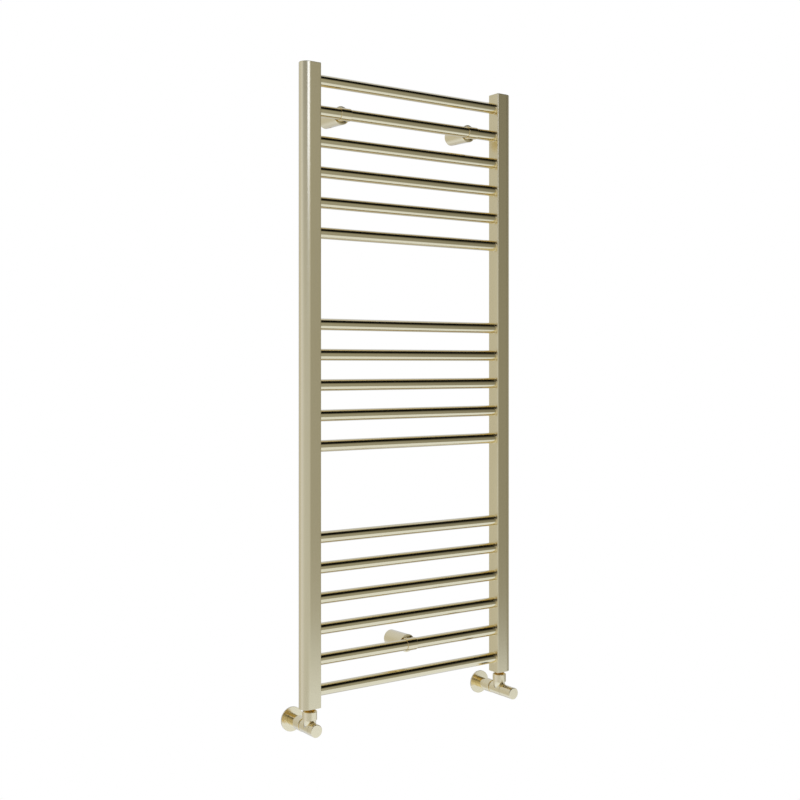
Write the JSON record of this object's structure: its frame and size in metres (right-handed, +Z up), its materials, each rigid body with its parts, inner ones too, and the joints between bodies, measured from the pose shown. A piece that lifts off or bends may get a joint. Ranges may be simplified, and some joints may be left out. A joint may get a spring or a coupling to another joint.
{
  "type": "towel warmer rack",
  "caption": "Wall-mounted ladder towel warmer: half-round posts, round cross tubes in groups with wide towel gaps, barrel wall brackets, and angle valves with wall flanges below.",
  "frame": {"origin": "centre of the lowest bracket's wall face, on the wall plane", "axes": "+X along the cross tubes to the wheelhead side, +Y into the wall, +Z up; the front faces -Y"},
  "size_m": [0.504, 0.114, 1.2612],
  "materials": {
    "satin_posts": "satin brushed along the post",
    "polished_tubes": "fine satin polish",
    "satin_fittings": "satin plated",
    "turned_brass": "as turned",
    "stainless_screws": "plain",
    "rubber": "moulded"
  },
  "bodies": {
    "rack": {"bar_01": "polished_tubes", "bar_02": "polished_tubes", "bar_03": "polished_tubes", "bar_04": "polished_tubes", "bar_05": "polished_tubes", "bar_06": "polished_tubes", "bar_07": "polished_tubes", "bar_08": "polished_tubes", "bar_09": "polished_tubes", "bar_10": "polished_tubes", "bar_11": "polished_tubes", "bar_12": "polished_tubes", "bar_13": "polished_tubes", "bar_14": "polished_tubes", "bar_15": "polished_tubes", "bar_16": "polished_tubes", "bar_17": "polished_tubes", "barrel_grub_screws": "stainless_screws", "blank_plug": "satin_fittings", "bonnet_left": "turned_brass", "bonnet_right": "turned_brass", "bracket_barrel_bottom": "satin_fittings", "bracket_barrel_top_left": "satin_fittings", "bracket_barrel_top_right": "satin_fittings", "bracket_collar_bottom": "satin_fittings", "bracket_collar_top_left": "satin_fittings", "bracket_collar_top_right": "satin_fittings", "collar_screws": "stainless_screws", "compression_nut_left": "satin_fittings", "compression_nut_right": "satin_fittings", "olives": "turned_brass", "pipe_sleeve_left": "satin_fittings", "pipe_sleeve_right": "satin_fittings", "plug_bosses": "satin_posts", "plug_seals": "rubber", "post_bottom_bushes": "satin_posts", "post_left": "satin_posts", "post_right": "satin_posts", "post_top_plates": "satin_posts", "spindle_o_rings": "rubber", "tail_gaskets": "rubber", "union_nut_left": "satin_fittings", "union_nut_right": "satin_fittings", "valve_body_left": "satin_fittings", "valve_body_right": "satin_fittings", "valve_tail_left": "satin_fittings", "valve_tail_right": "satin_fittings", "vent_body": "satin_fittings", "wall_spigots": "turned_brass"},
    "wheelhead": {"wheelhead": "satin_fittings", "wheelhead_screw": "stainless_screws", "spindle_right": "turned_brass"},
    "disc_right": {"valve_disc_right": "turned_brass"},
    "lock_spindle": {"spindle_left": "turned_brass"},
    "disc_left": {"valve_disc_left": "turned_brass"},
    "lockshield_cap": {"lockshield_cap": "satin_fittings"},
    "bleed_screw": {"bleed_screw": "stainless_screws"},
    "flange_left": {"wall_flange_left": "satin_fittings"},
    "flange_right": {"wall_flange_right": "satin_fittings"}
  },
  "joints": [
    {"name": "wheelhead_turn", "type": "hinge", "parent": "rack", "child": "wheelhead", "pos_m": [0.2285, -0.068, -0.1247], "axis": [0, -1, 0], "range_deg": [0, 900]},
    {"name": "disc_right_lift", "type": "slide", "parent": "rack", "child": "disc_right", "axis": [0, -1, 0], "range_m": [0, 0.0038]},
    {"name": "lock_spindle_turn", "type": "hinge", "parent": "rack", "child": "lock_spindle", "pos_m": [-0.2285, -0.068, -0.1247], "axis": [0, -1, 0], "range_deg": [0, 900]},
    {"name": "disc_left_lift", "type": "slide", "parent": "rack", "child": "disc_left", "axis": [0, -1, 0], "range_m": [0, 0.0038]},
    {"name": "cap_pull", "type": "slide", "parent": "rack", "child": "lockshield_cap", "axis": [0, -1, 0], "range_m": [0, 0.03]},
    {"name": "bleed_screw_turn", "type": "hinge", "parent": "rack", "child": "bleed_screw", "pos_m": [0.2285, -0.053, 1.0545], "axis": [0, 1, 0], "range_deg": [0, 360]},
    {"name": "flange_left_slide", "type": "slide", "parent": "rack", "child": "flange_left", "axis": [0, -1, 0], "range_m": [0, 0.012]},
    {"name": "flange_right_slide", "type": "slide", "parent": "rack", "child": "flange_right", "axis": [0, -1, 0], "range_m": [0, 0.012]}
  ],
  "couplings": [
    {"joint": "disc_right_lift", "follows": "wheelhead_turn", "m_per_rad": 0.00023873},
    {"joint": "disc_left_lift", "follows": "lock_spindle_turn", "m_per_rad": 0.00023873}
  ]
}
